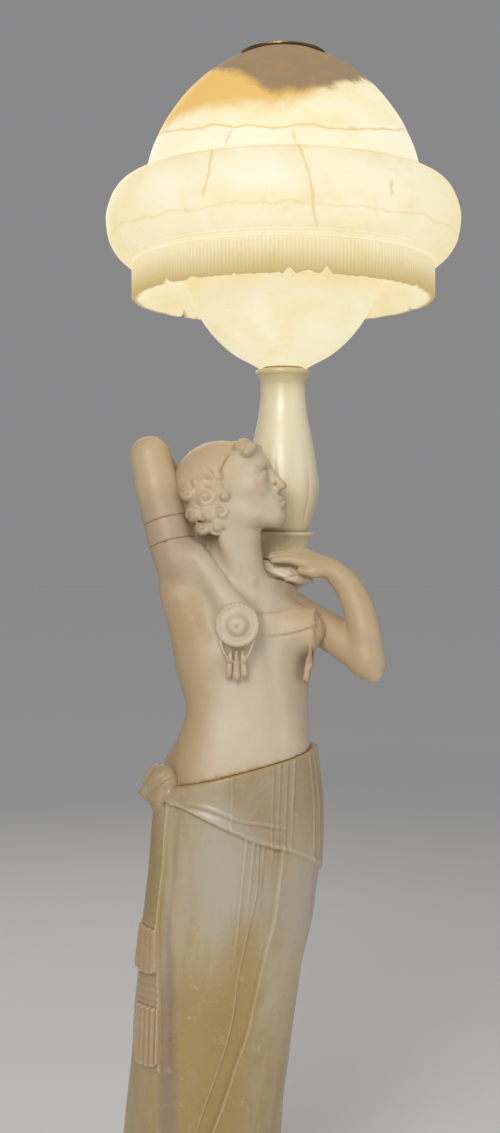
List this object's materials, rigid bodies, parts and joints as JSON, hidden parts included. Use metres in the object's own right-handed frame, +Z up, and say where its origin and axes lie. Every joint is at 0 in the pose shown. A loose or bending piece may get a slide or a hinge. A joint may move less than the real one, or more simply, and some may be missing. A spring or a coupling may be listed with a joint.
{
  "type": "floor lamp",
  "caption": "Carved alabaster floor lamp: a robed figure carries a jar on her shoulder, topped by a lit globe with a wide fringed band and a low brass cap.",
  "frame": {"origin": "on the floor, under the upright axis shared by the jar and the globe", "axes": "+Z up, -Y towards the viewer, +X to the viewer's right"},
  "size_m": [0.5212, 0.5212, 1.812],
  "materials": {
    "alabaster_globe": "polished, lit from inside",
    "alabaster_jar": "polished",
    "alabaster_skin": "smooth satin",
    "alabaster_skirt": "polished, veined",
    "foot_marble": "polished",
    "felt": "matt",
    "gland_plastic": "matt",
    "painted_steel": "satin",
    "steel": "zinc plated",
    "brass": "aged",
    "terminal_plastic": "matt",
    "flex": "soft sheath",
    "cork": "matt",
    "rubber": "matt",
    "porcelain": "glazed",
    "bulb_glass": "frosted, lit",
    "switch_plastic": "glossy"
  },
  "bodies": {
    "root": {"arm_pins": "steel", "armlet": "alabaster_skin", "base_cover": "painted_steel", "bowl_clamp_plate": "steel", "bowl_cork_ring": "cork", "bowl_rubber_washer": "rubber", "cluster_hub": "brass", "cord_inlet_bush": "gland_plastic", "core_nuts": "steel", "core_tube": "steel", "core_washers": "steel", "cover_screws": "steel", "feet": "alabaster_skirt", "felt_pad": "felt", "foot_slab": "foot_marble", "globe_band": "alabaster_globe", "globe_bowl": "alabaster_globe", "globe_fringe": "alabaster_globe", "inner_flex": "flex", "jar_body": "alabaster_jar", "jar_collar": "alabaster_jar", "lamp_pipe": "steel", "left_arm": "alabaster_skin", "neck_screw": "brass", "pipe_nuts": "steel", "pipe_washers": "steel", "plinth": "foot_marble", "right_forearm": "alabaster_skin", "rod_nut": "steel", "shoulder_cloth": "alabaster_skin", "side_sash": "alabaster_skirt", "skirt_block": "alabaster_skirt", "socket_insert_1": "porcelain", "socket_insert_2": "porcelain", "socket_insert_3": "porcelain", "socket_leads": "flex", "socket_nipples": "brass", "socket_shell_1": "brass", "socket_shell_2": "brass", "socket_shell_3": "brass", "terminal_block": "terminal_plastic", "terminal_screws": "brass", "torso_block": "alabaster_skin", "upper_rod": "steel"},
    "dome": {"globe_dome": "alabaster_globe", "cap_felt": "felt"},
    "cap": {"top_cap": "brass"},
    "nut": {"cap_nut": "brass"},
    "bulb_1": {"bulb_cap_1": "brass", "bulb_glass_1": "bulb_glass"},
    "knob_1": {"switch_knob_1": "switch_plastic"},
    "bulb_2": {"bulb_cap_2": "brass", "bulb_glass_2": "bulb_glass"},
    "knob_2": {"switch_knob_2": "switch_plastic"},
    "bulb_3": {"bulb_cap_3": "brass", "bulb_glass_3": "bulb_glass"},
    "knob_3": {"switch_knob_3": "switch_plastic"}
  },
  "joints": [
    {"name": "dome_lift", "type": "slide", "parent": "root", "child": "dome", "axis": [0, 0, 1], "range_m": [0, 0.25]},
    {"name": "cap_lift", "type": "slide", "parent": "dome", "child": "cap", "axis": [0, 0, 1], "range_m": [0, 0.05]},
    {"name": "cap_nut_turn", "type": "hinge", "parent": "cap", "child": "nut", "pos_m": [0, 0, 1.806], "axis": [0, 0, 1], "continuous": true},
    {"name": "bulb_turn_1", "type": "hinge", "parent": "root", "child": "bulb_1", "pos_m": [0, 0.04384, 1.49484], "axis": [0, 0.7071, 0.7071], "continuous": true},
    {"name": "switch_turn_1", "type": "hinge", "parent": "root", "child": "knob_1", "pos_m": [0, 0.06576, 1.47999], "axis": [0, 0.7071, -0.7071], "continuous": true},
    {"name": "bulb_turn_2", "type": "hinge", "parent": "root", "child": "bulb_2", "pos_m": [-0.03797, -0.02192, 1.49484], "axis": [-0.6124, -0.3536, 0.7071], "continuous": true},
    {"name": "switch_turn_2", "type": "hinge", "parent": "root", "child": "knob_2", "pos_m": [-0.05695, -0.03288, 1.47999], "axis": [-0.6124, -0.3536, -0.7071], "continuous": true},
    {"name": "bulb_turn_3", "type": "hinge", "parent": "root", "child": "bulb_3", "pos_m": [0.03797, -0.02192, 1.49484], "axis": [0.6124, -0.3536, 0.7071], "continuous": true},
    {"name": "switch_turn_3", "type": "hinge", "parent": "root", "child": "knob_3", "pos_m": [0.05695, -0.03288, 1.47999], "axis": [0.6124, -0.3536, -0.7071], "continuous": true}
  ]
}
